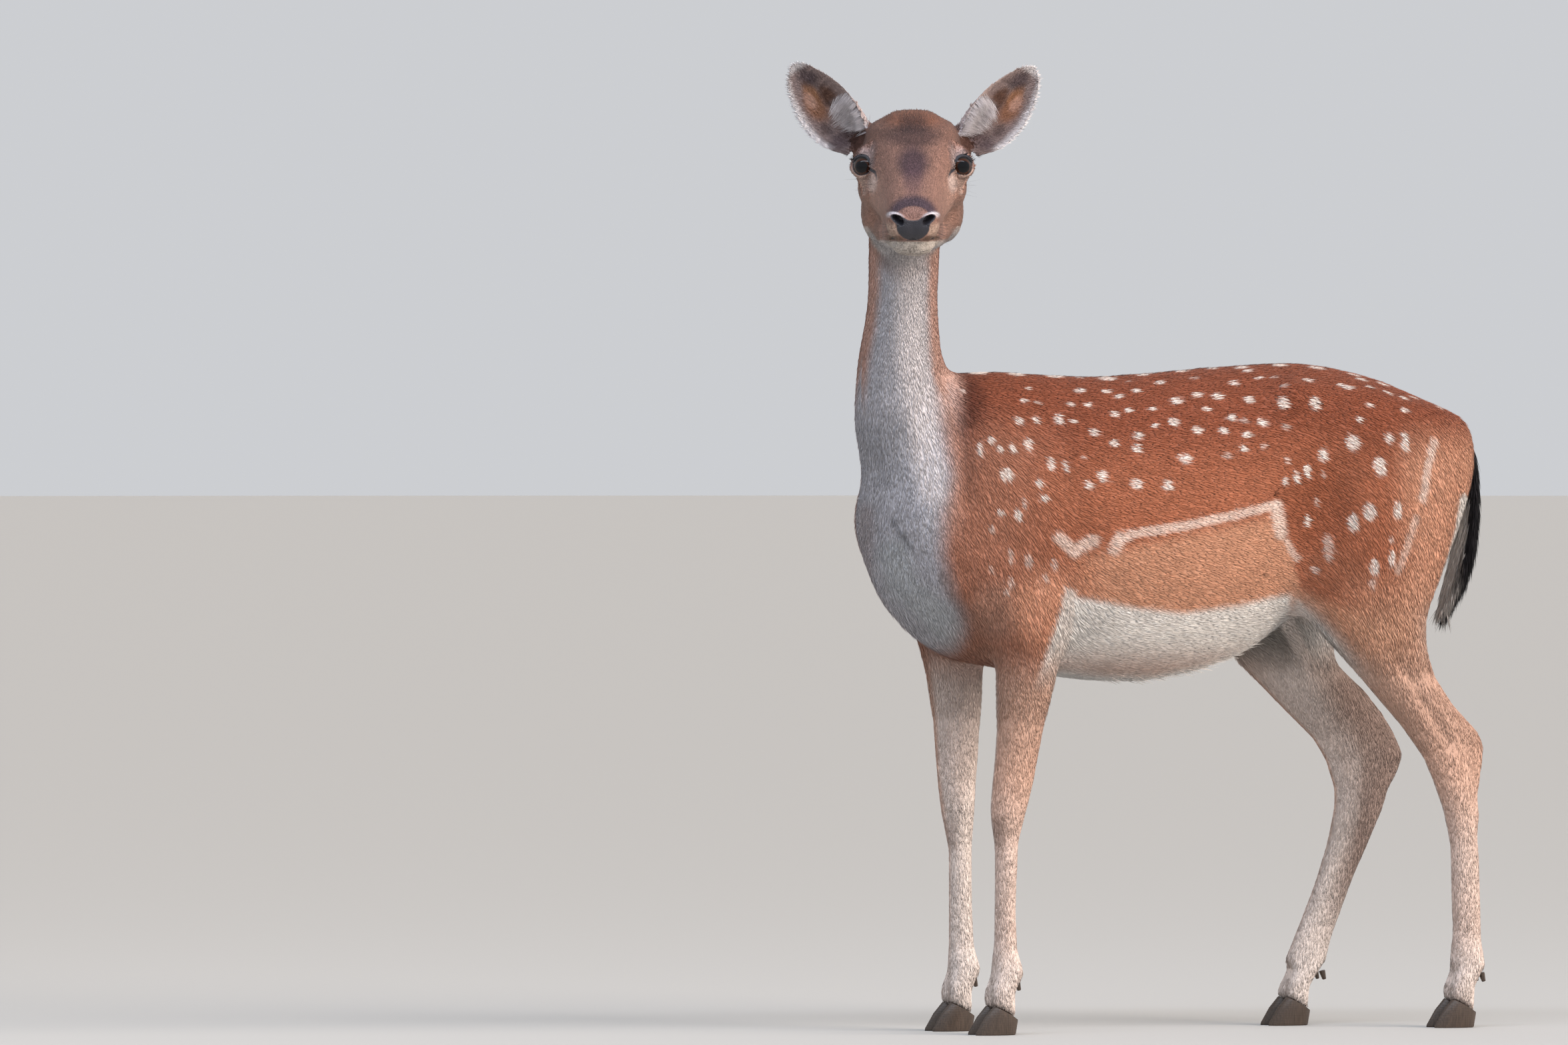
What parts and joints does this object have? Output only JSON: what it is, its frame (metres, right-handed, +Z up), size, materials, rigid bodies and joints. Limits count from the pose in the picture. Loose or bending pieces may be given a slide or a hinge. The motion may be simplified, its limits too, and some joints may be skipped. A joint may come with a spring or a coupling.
{
  "type": "fallow deer doe model",
  "caption": "Standing fallow deer doe in spotted summer coat, head turned to her left, resting on four cloven hooves.",
  "frame": {"origin": "middle of the bounding box, at floor level", "axes": "+Z up, the chest looks along -X, +Y is the animal's right side"},
  "size_m": [0.9018, 0.3834, 1.1657],
  "materials": {
    "rufous_coat": "short dense hair, soft sheen",
    "leg_coat": "very short hair, matt",
    "face_coat": "very short grizzled hair, matt",
    "tail_coat": "long soft hair",
    "horn": "satin, finely ringed",
    "eye": "wet and glossy"
  },
  "bodies": {
    "root": {"dewclaw_fore_left_inner": "horn", "dewclaw_fore_left_outer": "horn", "dewclaw_fore_right_inner": "horn", "dewclaw_fore_right_outer": "horn", "dewclaw_hind_left_inner": "horn", "dewclaw_hind_left_outer": "horn", "dewclaw_hind_right_inner": "horn", "dewclaw_hind_right_outer": "horn", "ear_left": "face_coat", "ear_right": "face_coat", "eye_left": "eye", "eye_right": "eye", "fore_left_cannon": "leg_coat", "fore_left_pastern": "leg_coat", "fore_left_upper": "rufous_coat", "fore_right_cannon": "leg_coat", "fore_right_pastern": "leg_coat", "fore_right_upper": "rufous_coat", "head": "face_coat", "hind_left_cannon": "leg_coat", "hind_left_pastern": "leg_coat", "hind_left_upper": "rufous_coat", "hind_right_cannon": "leg_coat", "hind_right_pastern": "leg_coat", "hind_right_upper": "rufous_coat", "hoof_fore_left_inner": "horn", "hoof_fore_left_outer": "horn", "hoof_fore_right_inner": "horn", "hoof_fore_right_outer": "horn", "hoof_hind_left_inner": "horn", "hoof_hind_left_outer": "horn", "hoof_hind_right_inner": "horn", "hoof_hind_right_outer": "horn", "neck": "rufous_coat", "tail": "tail_coat", "trunk": "rufous_coat"}
  },
  "joints": []
}
